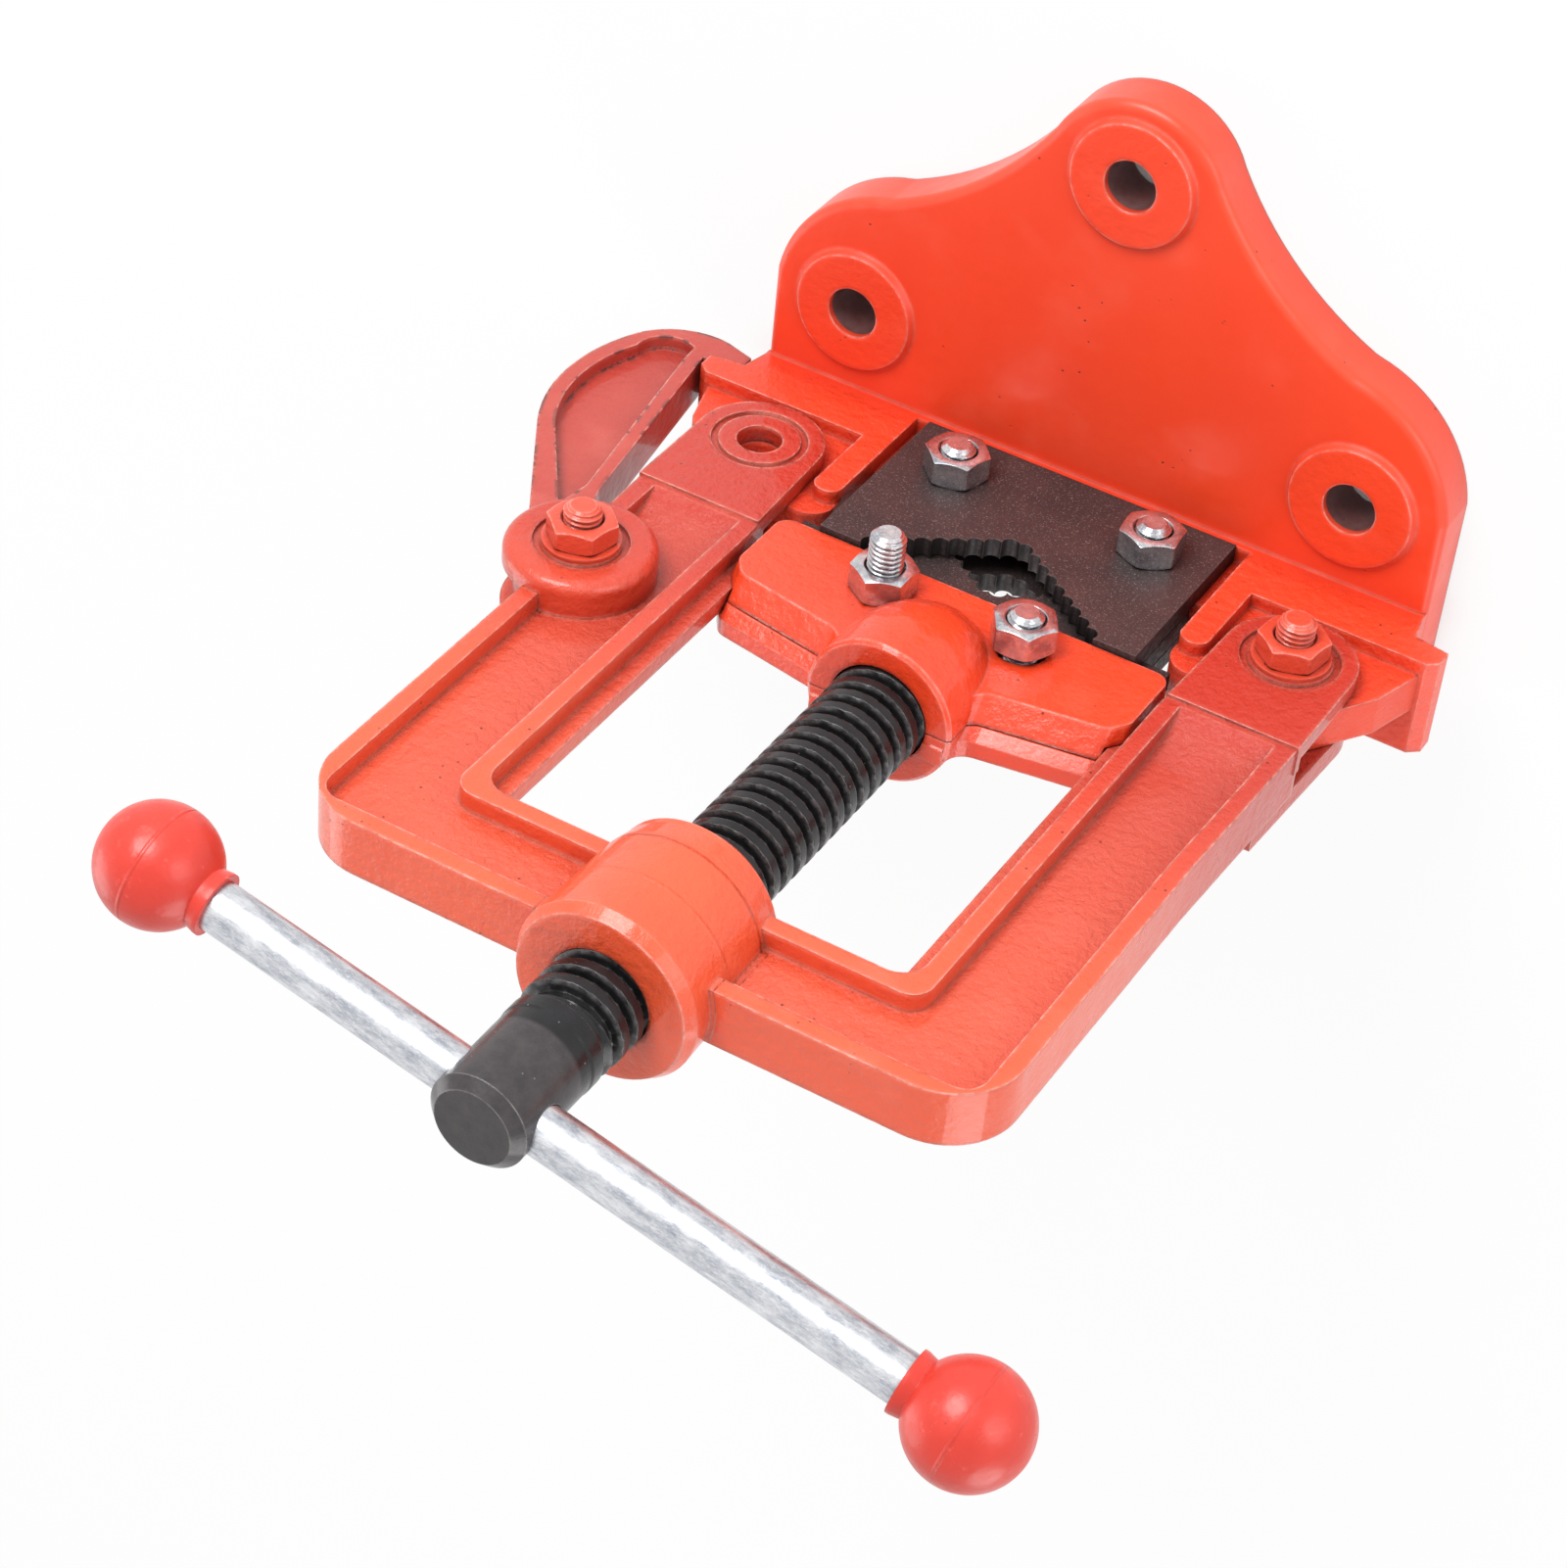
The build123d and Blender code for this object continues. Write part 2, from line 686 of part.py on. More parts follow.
# Lead screw: threaded shank, journal with a retaining groove, plain neck and cross-drilled head
with BuildPart() as lead_screw:
    with BuildSketch(Plane.XZ):
        with BuildLine():
            Polyline(
                (0, journal_low),
                (journal_rad - 0.8, journal_low),
                (journal_rad, journal_low + 0.8),
                (journal_rad, lip_z - lip_half - groove_gap),
                (groove_rad, lip_z - lip_half - groove_gap),
                (groove_rad, lip_z + lip_half + groove_gap),
                (journal_rad, lip_z + lip_half + groove_gap),
                (journal_rad, thrust_z + thrust_gap + thrust_washer_thick + thrust_gap),
                (screw_rad - 1.2, thrust_z + thrust_gap + thrust_washer_thick + thrust_gap),
                (screw_rad, thrust_z + 2 * thrust_gap + thrust_washer_thick + 1.2),
                (screw_rad, thread_end),
                (collar_rad - 1.6, thread_end + 1.6),
                (collar_rad - 1.6, thread_end + 0.6 * screw_pitch),
                (collar_rad, thread_end + 4),
                (collar_rad, head_low - 0.8),
                (head_rad, head_low),
                (head_rad, head_end - head_chamfer),
                (head_rad - head_chamfer, head_end),
                (0, head_end),
                close=True,
            )
        make_face()
    revolve(axis=Axis.Z)
    with Locations(Plane((0, 0, bar_z), x_dir=(0, 0, 1), z_dir=bar_way)):
        Cylinder(bar_rad + bar_fit, 4 * head_rad, mode=Mode.SUBTRACT)
lead_screw.part.label = "lead_screw"
export_step(lead_screw.part, "parts/lead_screw.step")

# Washer that takes the thrust between the screw's shoulder and the moving jaw
with BuildPart() as thrust_washer:
    with BuildSketch(Plane.XY.offset(thrust_z + thrust_gap)):
        Circle(screw_rad - 0.5)
        Circle(journal_rad + thrust_washer_gap, mode=Mode.SUBTRACT)
    extrude(amount=thrust_washer_thick)
thrust_washer.part.label = "thrust_washer"
export_step(thrust_washer.part, "parts/thrust_washer.step")

# Tommy bar, with a ball knob pressed on each end
bar_far_plane = Plane(tuple(-c * ball_far for c in bar_way[:2]) + (bar_z,), x_dir=(0, 0, 1), z_dir=bar_way)
with BuildPart() as tommy_bar:
    with BuildSketch(bar_far_plane.offset(bar_into_ball)):
        Circle(bar_rad)
    extrude(amount=ball_far + ball_near - 2 * bar_into_ball)
tommy_bar.part.label = "tommy_bar"
export_step(tommy_bar.part, "parts/tommy_bar.step")

for way, reach, knob_name in ((1, ball_near, "left_knob"), (-1, ball_far, "right_knob")):
    knob_plane = Plane(
        (way * reach * bar_way[0], way * reach * bar_way[1], bar_z),
        x_dir=(0, 0, 1),
        z_dir=tuple(-way * c for c in bar_way),
    )
    skirt_start = sqrt(ball_rad**2 - skirt_neck**2)
    with BuildPart() as knob:
        with BuildSketch(Plane.XZ):
            with BuildLine():
                ThreePointArc((0, -ball_rad), (ball_rad, 0), (skirt_neck, skirt_start))
                Polyline(
                    (skirt_neck, skirt_start),
                    (skirt_rad, skirt_end - 0.8),
                    (skirt_rad, skirt_end),
                    (0, skirt_end),
                    (0, -ball_rad),
                )
            make_face()
        revolve(axis=Axis.Z)
        with BuildSketch(Plane.XY.offset(bar_into_ball)):
            Circle(bar_rad)
        extrude(amount=2 * ball_rad, mode=Mode.SUBTRACT)
    placed_knob = knob.part.moved(knob_plane.location)
    placed_knob.label = knob_name
    export_step(placed_knob, f"parts/{knob_name}.step")

# Latch hook: a thin web inside a raised rim, with an eye at the pivot
eye_ring = latch_boss_rad + 1.0
with BuildPart() as latch_hook:
    with BuildSketch(Plane.XZ) as hook_outline:
        with BuildLine():
            Polyline(
                (latch_x + 0.38 * latch_eye, latch_z + 0.92 * latch_eye),
                (latch_x, latch_z),
                (hook_shank_x - 4, hook_shank_z + 12),
                (hook_shank_x, hook_shank_z),
                (hook_throat_x, hook_arc_z(hook_throat_x, hook_reach)),
            )
            hook_mid_x = (hook_throat_x + hook_tip_x) / 2
            ThreePointArc(
                (hook_throat_x, hook_arc_z(hook_throat_x, hook_reach)),
                (hook_mid_x, hook_arc_z(hook_mid_x, hook_reach)),
                (hook_tip_x, hook_arc_z(hook_tip_x, hook_reach)),
            )
            Polyline(
                (hook_tip_x, hook_arc_z(hook_tip_x, hook_reach)),
                (hook_tip_x, hook_tip_low),
                (hook_under_x, hook_under_z),
            )
            ThreePointArc(
                (hook_under_x, hook_under_z), (hook_heel_x, hook_heel_z), (hook_back_x, hook_back_z)
            )
            ThreePointArc((hook_back_x, hook_back_z), (hook_out_x, hook_out_z), (hook_arm_x, hook_arm_z))
            Polyline(
                (hook_arm_x, hook_arm_z),
                (hook_neck_x, hook_neck_z),
                (latch_x + 0.38 * latch_eye, latch_z + 0.92 * latch_eye),
            )
        make_face()
    extrude(amount=latch_half, both=True)
    # Pocket inside the rim, on both faces
    for face in (1, -1):
        with BuildSketch(Plane.XZ.offset(face * latch_half)) as hook_pocket:
            hook_pocket_z = hook_seat_z + hook_pocket_rise
            throat_z = hook_arc_z(hook_throat_x, hook_reach)
            with BuildLine():
                Polyline(
                    (hook_neck_x - latch_rim, hook_neck_z - 1.5 * latch_rim),
                    (hook_shank_x + latch_inner_rib, hook_shank_z),
                    (hook_throat_x + latch_inner_rib, throat_z + latch_inner_rib),
                    (hook_pocket_x, hook_pocket_z),
                )
                ThreePointArc(
                    (hook_pocket_x, hook_pocket_z),
                    (hook_heel_x, hook_heel_z + latch_rim),
                    (hook_back_x - latch_rim, hook_back_z + 0.4 * latch_rim),
                )
                ThreePointArc(
                    (hook_back_x - latch_rim, hook_back_z + 0.4 * latch_rim),
                    (hook_out_x - latch_rim, hook_out_z),
                    (hook_arm_x - latch_rim, hook_arm_z - 0.4 * latch_rim),
                )
                Line(
                    (hook_arm_x - latch_rim, hook_arm_z - 0.4 * latch_rim),
                    (hook_neck_x - latch_rim, hook_neck_z - 1.5 * latch_rim),
                )
            make_face()
            with Locations((latch_x, latch_z)):
                Circle(eye_ring, mode=Mode.SUBTRACT)
        extrude(amount=-face * (latch_half - latch_web_half), mode=Mode.SUBTRACT)
    with BuildSketch(Plane.XZ):
        with Locations((latch_x, latch_z)):
            Circle(latch_eye)
    extrude(amount=latch_half, both=True)
    with Locations(Plane.XZ):
        with Locations((latch_x, latch_z)):
            Cylinder(pivot_bolt_rad + pivot_fit, 6 * latch_half, mode=Mode.SUBTRACT)
latch_hook.part.label = "latch_hook"
export_step(latch_hook.part, "parts/latch_hook.step")

# Hexagon bolts, with their heads at the rear and their threaded ends at the front
fixed_seat = plate_outer
moving_seat = wing_face
hinge_seat = ear_half + washer_thick
latch_seat = latch_boss_half + washer_thick
front_end = {
    "fixed": fixed_seat + m8_nut_high + fixed_bolt_past_nut,
    "moving_left": moving_seat + m8_nut_high + long_bolt_past_nut,
    "moving_right": moving_seat + raised_nut + m8_nut_high + fixed_bolt_past_nut,
    "hinge": hinge_seat + pivot_nut_high + hinge_bolt_past_nut,
    "latch": latch_seat + pivot_nut_high + latch_bolt_past_nut,
}
m8_hex = (m8_rad, m8_flat, m8_head_high)
pivot_hex = (pivot_bolt_rad, pivot_nut_flat, m8_head_high)
bolt_groups = {
    "fixed_jaw_bolts": [
        (m8_hex, plate_bolt_x, plate_bolt_z, fixed_seat, front_end["fixed"]),
        (m8_hex, -plate_bolt_x, plate_bolt_z, fixed_seat, front_end["fixed"]),
    ],
    "moving_jaw_bolts": [
        (m8_hex, moving_bolt_x, moving_bolt_z, wing_back, front_end["moving_left"]),
        (m8_hex, -moving_bolt_x, moving_bolt_z, wing_back, front_end["moving_right"]),
    ],
    "hinge_bolt": [(pivot_hex, -pivot_x, pivot_z, ear_back + washer_thick, front_end["hinge"])],
    "latch_bolt": [(pivot_hex, latch_x, latch_z, latch_seat, front_end["latch"])],
}
for group_name, bolts in bolt_groups.items():
    with BuildPart() as bolt_group:
        for (shank_rad, flat, head_high), x, z, seat, end in bolts:
            rear_plane = Plane((x, seat, z), x_dir=(1, 0, 0), z_dir=(0, 1, 0))
            with BuildSketch(rear_plane):
                RegularPolygon(flat / 2, 6, major_radius=False)
            extrude(amount=head_high)
            with BuildSketch(rear_plane):
                Circle(shank_rad)
            extrude(amount=-(seat + end))
        ends = bolt_group.edges().filter_by(GeomType.CIRCLE).filter_by(lambda e: e.center().Y < 0)
        chamfer(ends, 0.8)
    bolt_group.part.label = group_name
    export_step(bolt_group.part, f"parts/{group_name}.step")

# Nuts, with the hexagon's corners turned off on both faces
m8_nut = (m8_rad, m8_flat, m8_nut_high)
pivot_nut = (pivot_bolt_rad, pivot_nut_flat, pivot_nut_high)
nut_groups = {
    "fixed_jaw_nuts": [
        (m8_nut, plate_bolt_x, plate_bolt_z, fixed_seat, 12),
        (m8_nut, -plate_bolt_x, plate_bolt_z, fixed_seat, 40),
    ],
    "moving_jaw_nuts": [
        (m8_nut, moving_bolt_x, moving_bolt_z, moving_seat, 25),
        (m8_nut, -moving_bolt_x, moving_bolt_z, moving_seat + raised_nut, 5),
    ],
    "hinge_nut": [(pivot_nut, -pivot_x, pivot_z, hinge_seat, 20)],
    "latch_nut": [(pivot_nut, latch_x, latch_z, latch_seat, 10)],
}
for group_name, nuts in nut_groups.items():
    with BuildPart() as nut_group:
        for (hole_rad, flat, high), x, z, seat, turn in nuts:
            nut_plane = Plane((x, -seat, z), x_dir=(1, 0, 0), z_dir=(0, -1, 0))
            corner = flat / sqrt(3)
            with BuildSketch(nut_plane):
                RegularPolygon(flat / 2, 6, major_radius=False, rotation=turn)
                Circle(hole_rad + nut_fit, mode=Mode.SUBTRACT)
            extrude(amount=high)
            # Chamfer ring taken off the outer face
            with BuildSketch(Plane((x, -seat, z), x_dir=(1, 0, 0), z_dir=(0, 0, 1))) as ring:
                with BuildLine():
                    Polyline(
                        (flat / 2 * 0.98, -high),
                        (corner + 0.5, -high),
                        (corner + 0.5, -high + (corner + 0.5 - flat / 2 * 0.98) * 0.5),
                        close=True,
                    )
                make_face()
            revolve(axis=Axis((x, 0, z), (0, 1, 0)), mode=Mode.SUBTRACT)
    nut_group.part.label = group_name
    export_step(nut_group.part, f"parts/{group_name}.step")

# Flat washers under the pivot bolts' heads and nuts
washer_groups = {
    "hinge_washers": (-pivot_x, pivot_z, ear_half, ear_back),
    "latch_washers": (latch_x, latch_z, latch_boss_half, latch_boss_half),
}
for group_name, (x, z, front_seat, back_seat) in washer_groups.items():
    with BuildPart() as washers:
        for side, seat in ((1, front_seat), (-1, back_seat)):
            with BuildSketch(Plane.XZ.offset(side * seat)):
                with Locations((x, z)):
                    Circle(washer_rad)
                    Circle(pivot_bolt_rad + pivot_fit, mode=Mode.SUBTRACT)
            extrude(amount=side * washer_thick)
    washers.part.label = group_name
    export_step(washers.part, f"parts/{group_name}.step")
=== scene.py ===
import math

import bpy
from mathutils import Matrix, Vector


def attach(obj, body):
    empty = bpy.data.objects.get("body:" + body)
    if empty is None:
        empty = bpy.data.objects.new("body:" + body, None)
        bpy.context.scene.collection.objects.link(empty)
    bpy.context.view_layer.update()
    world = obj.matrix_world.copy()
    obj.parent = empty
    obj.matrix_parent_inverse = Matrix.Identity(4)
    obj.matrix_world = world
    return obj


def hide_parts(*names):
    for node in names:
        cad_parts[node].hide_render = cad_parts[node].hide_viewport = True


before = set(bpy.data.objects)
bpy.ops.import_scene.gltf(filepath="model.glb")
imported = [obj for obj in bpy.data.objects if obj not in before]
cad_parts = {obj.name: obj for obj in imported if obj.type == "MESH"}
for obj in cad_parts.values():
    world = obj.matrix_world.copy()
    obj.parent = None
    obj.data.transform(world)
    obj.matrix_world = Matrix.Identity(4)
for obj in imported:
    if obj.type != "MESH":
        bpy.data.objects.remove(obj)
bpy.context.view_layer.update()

MM = 0.001

# Camera, fitted to points of the solids that the photograph shows
PHOTO = 1601
SENSOR = 36.0
FOCAL_PIXELS = 4159.227
CAMERA_PLACE = (-0.28014, -0.52105, 0.69840)
CAMERA_RIGHT = (-0.8567985, -0.0830897, -0.5089129)
CAMERA_UP = (0.3813242, -0.7664556, -0.5168536)
CAMERA_BACK = (-0.3471139, -0.6369003, 0.6883821)

# Studio: name, place, size and power of each lamp
LAMPS_AIM = (0, -0.02, 0.12)
LAMPS = (("key", (0.30, -1.15, 0.70), 0.75, 16.5),
         ("fill", (-1.05, -0.55, 0.45), 0.9, 5.0),
         ("rim", (-0.75, 0.85, 0.55), 0.8, 5.0),
         ("far", (1.05, 0.45, 0.60), 0.9, 4.0))
WORLD_LIGHT = 0.46
FLOOR_HALF, FLOOR_Z = 6.0, -0.0004
FLOOR_GREY, FLOOR_GLOW = 0.86, 0.9
GLOW_REACH, GLOW_FADE = 0.03, (0.12, 0.42)

# Sizes shared with the solids, in millimetres
PIVOT_X, PIVOT_Z = 65.0, 44.0
LATCH_X, LATCH_Z = 73.8, 103.0
FIXED_X, FIXED_Z = 24.0, 28.6
MOVING_X, MOVING_Z = 16.8, 73.5
SCREW_RAD, SCREW_ROOT, SCREW_PITCH = 11.0, 8.75, 5.0
THREAD_LOW, THREAD_HIGH = 95.4, 222.6
BALL_NEAR, BALL_FAR = 78.6, 103.5
BAR_TURN = math.radians(-12.6)
BAR_WAY = Vector((math.cos(BAR_TURN), math.sin(BAR_TURN), 0))

# Lead screw, in millimetres: how far the thread's ends sink into the journal and the head, and the slack
# within which a CAD face belongs to the plain shank
SINK_LOW, SINK_HIGH = 0.4, 0.2
SHANK_SLACK = 0.1

# Nuts, heads and bolt threads, in millimetres
CORNER_SHARE = 0.97
CONE_SLOPE = math.tan(math.radians(28))
CONE_STEPS = 5
HEX_AROUND = 96
BORE_CHAMFER = 0.5
HEAD_HIGH = 5.3
BOLT_PITCH = 1.25
BOLT_DEPTH = 0.6 * BOLT_PITCH
BOLT_TIP = 0.5
CREST_CLEAR = 0.02
SLACK = 0.05
CENTRE_HOLE = 0.01
SHARP_THREAD, SHARP_HEX = 38, 32

# Fasteners, in millimetres: thread radius, width across the flats and nut height of each size, the
# seats of their heads and nuts from Y = 0, and how far each shank stands past the nut's seat
ZINC_SIZE = (4.0, 13.0, 6.5)
PAINTED_SIZE = (4.2, 13.8, 5.0)
FIXED_SEAT, FIXED_SHANK = 7.05, 8.0
MOVING_SEAT, MOVING_REAR = 5.6, 6.6
LONG_SHANK, SHORT_SHANK, NUT_OFF_SEAT = 15.0, 9.6, 1.6
HINGE_SEAT, HINGE_REAR, HINGE_SHANK = 8.2, 13.0, 9.5
LATCH_SEAT, LATCH_SHANK = 11.5, 8.2

# Places that the paint follows, in metres; each pair is a fade from one value to the other
EARS_FADE = (0.175, 0.075)
WEB_FACE = (0.0052, 0.0042)
HUB_START = (0.170, 0.172)
HUB_WITHIN = (0.0212, 0.0208)
HUB_STEP = (0.1826, 0.1836)
HUB_LINE, HUB_LINE_WIDE = 0.1955, (0.0001, 0.0006)
KNOB_SEAM_WIDE = (0.0001, 0.0005)
FLANGE_SKIN = (0.0125, 0.0175)
FLANGE_TOP = (0.0123, 0.0117)
FLANGE_HOLES = ((0.061, -0.026), (-0.061, -0.026), (0.0, -0.082))
HOLE_WALL = (0.0066, 0.0062)
CREST_INNER = (0.0098, 0.0105)
CREST_OUTER = (0.01097, 0.01088)
RUB_END = (0.2222, 0.2215)
HEAD_START = (0.2318, 0.2328)


# Camera at the photograph's angle
def add_camera():
    data = bpy.data.cameras.new("camera")
    data.sensor_width = SENSOR
    data.lens = FOCAL_PIXELS / PHOTO * SENSOR
    data.clip_start, data.clip_end = 0.05, 20.0
    cam = bpy.data.objects.new("camera", data)
    turn = Matrix((CAMERA_RIGHT, CAMERA_UP, CAMERA_BACK)).transposed().to_4x4()
    cam.matrix_world = Matrix.Translation(CAMERA_PLACE) @ turn
    bpy.context.collection.objects.link(cam)
    bpy.context.scene.camera = cam


# Lights, world and floor
def add_lights():
    for name, place, size, power in LAMPS:
        data = bpy.data.lights.new(name, "AREA")
        data.shape = "DISK"
        data.size = size
        data.energy = power
        lamp = bpy.data.objects.new(name, data)
        lamp.location = place
        way = Vector(LAMPS_AIM) - Vector(place)
        lamp.rotation_euler = way.to_track_quat("-Z", "Y").to_euler()
        bpy.context.collection.objects.link(lamp)


def new_node(nt, kind, **values):
    """A node with its named inputs set, and its operation where one is given."""
    n = nt.nodes.new(kind)
    if "operation" in values:
        n.operation = values.pop("operation")
    for key, v in values.items():
        n.inputs[key.replace("_", " ")].default_value = v
    return n


def seen_share(nt):
    """1 for what the camera, a reflection or a clear piece sees, 0 for light that falls on a surface."""
    path = nt.nodes.new("ShaderNodeLightPath")
    seen = path.outputs["Is Camera Ray"]
    for ray in ("Is Glossy Ray", "Is Transmission Ray"):
        larger = new_node(nt, "ShaderNodeMath", operation="MAXIMUM")
        nt.links.new(seen, larger.inputs[0])
        nt.links.new(path.outputs[ray], larger.inputs[1])
        seen = larger.outputs[0]
    return seen


def mix_shaders(nt, share, low, high, end):
    """Ends a node tree with the low shader at a share of 0 and the high one at 1."""
    mix = nt.nodes.new("ShaderNodeMixShader")
    nt.links.new(share, mix.inputs[0])
    nt.links.new(low.outputs[0], mix.inputs[1])
    nt.links.new(high.outputs[0], mix.inputs[2])
    nt.links.new(mix.outputs[0], nt.nodes.new(end).inputs["Surface"])


def add_world():
    world = bpy.data.worlds.new("studio")
    bpy.context.scene.world = world
    world.use_nodes = True
    nt = world.node_tree
    nt.nodes.clear()
    lamp = new_node(nt, "ShaderNodeBackground", Color=(1, 1, 1, 1), Strength=WORLD_LIGHT)
    white = new_node(nt, "ShaderNodeBackground", Color=(1, 1, 1, 1), Strength=1.0)
    mix_shaders(nt, seen_share(nt), lamp, white, "ShaderNodeOutputWorld")


def add_floor():
    mesh = bpy.data.meshes.new("floor")
    s, z = FLOOR_HALF, FLOOR_Z
    mesh.from_pydata([(-s, -s, z), (s, -s, z), (s, s, z), (-s, s, z)], [], [(0, 1, 2, 3)])
    floor = bpy.data.objects.new("floor", mesh)
    bpy.context.collection.objects.link(floor)
    mat = bpy.data.materials.new("floor_white")
    mat.use_nodes = True
    nt = mat.node_tree
    nt.nodes.clear()
    # The glow stops where the object closes the floor off, as inside the bolt holes
    near = new_node(nt, "ShaderNodeAmbientOcclusion", Distance=GLOW_REACH)
    near.samples = 8
    shut, clear = GLOW_FADE
    open_sky = new_node(nt, "ShaderNodeMapRange", From_Min=shut, From_Max=clear, To_Min=0.0, To_Max=1.0)
    nt.links.new(near.outputs["AO"], open_sky.inputs["Value"])
    share = new_node(nt, "ShaderNodeMath", operation="MULTIPLY")
    share.inputs[1].default_value = FLOOR_GLOW
    nt.links.new(seen_share(nt), share.inputs[0])
    lit = new_node(nt, "ShaderNodeMath", operation="MULTIPLY")
    nt.links.new(share.outputs[0], lit.inputs[0])
    nt.links.new(open_sky.outputs["Result"], lit.inputs[1])
    paper = new_node(nt, "ShaderNodeBsdfDiffuse", Color=(FLOOR_GREY, FLOOR_GREY, FLOOR_GREY, 1))
    glow = new_node(nt, "ShaderNodeEmission", Color=(1, 1, 1, 1), Strength=1.0)
    mix_shaders(nt, lit.outputs[0], paper, glow, "ShaderNodeOutputMaterial")
    floor.data.materials.append(mat)


# A small builder for node materials
class Paint:
    def __init__(self, name):
        self.mat = bpy.data.materials.new(name)
        self.mat.use_nodes = True
        self.nt = self.mat.node_tree
        self.nt.nodes.clear()
        out = self.nt.nodes.new("ShaderNodeOutputMaterial")
        self.bsdf = self.nt.nodes.new("ShaderNodeBsdfPrincipled")
        self.link(self.bsdf.outputs[0], out.inputs["Surface"])
        self.coord = self.nt.nodes.new("ShaderNodeTexCoord").outputs["Object"]

    def link(self, a, b):
        self.nt.links.new(a, b)

    def noise(self, scale, detail, rough, source=None):
        n = new_node(self.nt, "ShaderNodeTexNoise", Scale=scale, Detail=detail, Roughness=rough)
        self.link(source or self.coord, n.inputs["Vector"])
        return n.outputs["Fac"]

    def dots(self, scale, size, edge):
        """1 on small round dots, fading out from their size to their edge."""
        n = new_node(self.nt, "ShaderNodeTexVoronoi", Scale=scale)
        self.link(self.coord, n.inputs["Vector"])
        return self.span(n.outputs["Distance"], size, edge, 1.0, 0.0)

    def stretch(self, along, turn):
        """Coordinates drawn out along X, after a turn about Z."""
        n = self.nt.nodes.new("ShaderNodeMapping")
        n.vector_type = "TEXTURE"
        n.inputs["Scale"].default_value = (along, 1.0, 1.0)
        n.inputs["Rotation"].default_value = (0, 0, turn)
        self.link(self.coord, n.inputs["Vector"])
        return n.outputs["Vector"]

    def span(self, value, lo, hi, to_lo=0.0, to_hi=1.0, smooth=False):
        n = new_node(self.nt, "ShaderNodeMapRange", From_Min=lo, From_Max=hi, To_Min=to_lo, To_Max=to_hi)
        n.interpolation_type = "SMOOTHSTEP" if smooth else "LINEAR"
        self.link(value, n.inputs["Value"])
        return n.outputs["Result"]

    def math(self, op, a, b=None):
        n = new_node(self.nt, "ShaderNodeMath", operation=op)
        for socket, v in zip(n.inputs, (a, b)):
            if isinstance(v, (int, float)):
                socket.default_value = v
            elif v is not None:
                self.link(v, socket)
        return n.outputs[0]

    def times(self, a, b):
        return self.math("MULTIPLY", a, b)

    def absolute(self, a):
        return self.math("ABSOLUTE", a)

    def radius(self, a, b):
        return self.math("SQRT", self.math("ADD", self.times(a, a), self.times(b, b)))

    def mix(self, fac, a, b):
        n = self.nt.nodes.new("ShaderNodeMix")
        n.data_type = "RGBA"
        self.link(fac, n.inputs["Factor"])
        for v, socket in ((a, n.inputs[6]), (b, n.inputs[7])):
            if isinstance(v, tuple):
                socket.default_value = v + (1,)
            else:
                self.link(v, socket)
        return n.outputs[2]

    def tint(self, color, mask, share, other):
        """Another colour over this one where the mask is, at most by the share."""
        return self.mix(self.times(mask, share), color, other)

    def parts(self, vector):
        s = self.nt.nodes.new("ShaderNodeSeparateXYZ")
        self.link(vector, s.inputs[0])
        return s.outputs

    def place(self):
        return self.parts(self.coord)

    def facing(self):
        """The flat face's own normal in the object's frame, as x, y and z."""
        t = self.nt.nodes.new("ShaderNodeVectorTransform")
        t.vector_type = "NORMAL"
        t.convert_from, t.convert_to = "WORLD", "OBJECT"
        self.link(self.nt.nodes.new("ShaderNodeNewGeometry").outputs["True Normal"], t.inputs[0])
        return self.parts(t.outputs[0])

    def bevel(self, radius):
        n = new_node(self.nt, "ShaderNodeBevel", Radius=radius)
        n.samples = 4
        return n.outputs[0]

    def edges(self, rounded, lo, hi):
        """1 near an edge, where the rounded normal leaves the face's, and 0 on a face."""
        d = self.nt.nodes.new("ShaderNodeVectorMath")
        d.operation = "DOT_PRODUCT"
        self.link(rounded, d.inputs[0])
        self.link(self.nt.nodes.new("ShaderNodeNewGeometry").outputs["Normal"], d.inputs[1])
        return self.span(d.outputs["Value"], lo, hi)

    def closed(self, reach, lo, hi):
        """1 deep in a corner or under an overhang, 0 in the open."""
        n = new_node(self.nt, "ShaderNodeAmbientOcclusion", Distance=reach)
        n.samples = 4
        return self.span(n.outputs["AO"], hi, lo)

    def bump(self, height, distance, under, strength=1.0):
        n = new_node(self.nt, "ShaderNodeBump", Distance=distance, Strength=strength)
        self.link(height, n.inputs["Height"])
        self.link(under, n.inputs["Normal"])
        return n.outputs["Normal"]

    def finish(self, color, rough, normal, metal=0.0, coat=0.0, coat_rough=0.1, gleam=0.5):
        p = self.bsdf.inputs
        for key, v in (("Base Color", color), ("Roughness", rough), ("Normal", normal)):
            self.link(v, p[key])
        for key, v in (("Metallic", metal), ("Coat Weight", coat),
                       ("Coat Roughness", coat_rough), ("Specular IOR Level", gleam)):
            p[key].default_value = v
        return self.mat


def scaled(color, *shares):
    """A colour with each channel times its share."""
    return tuple(c * k for c, k in zip(color, shares))


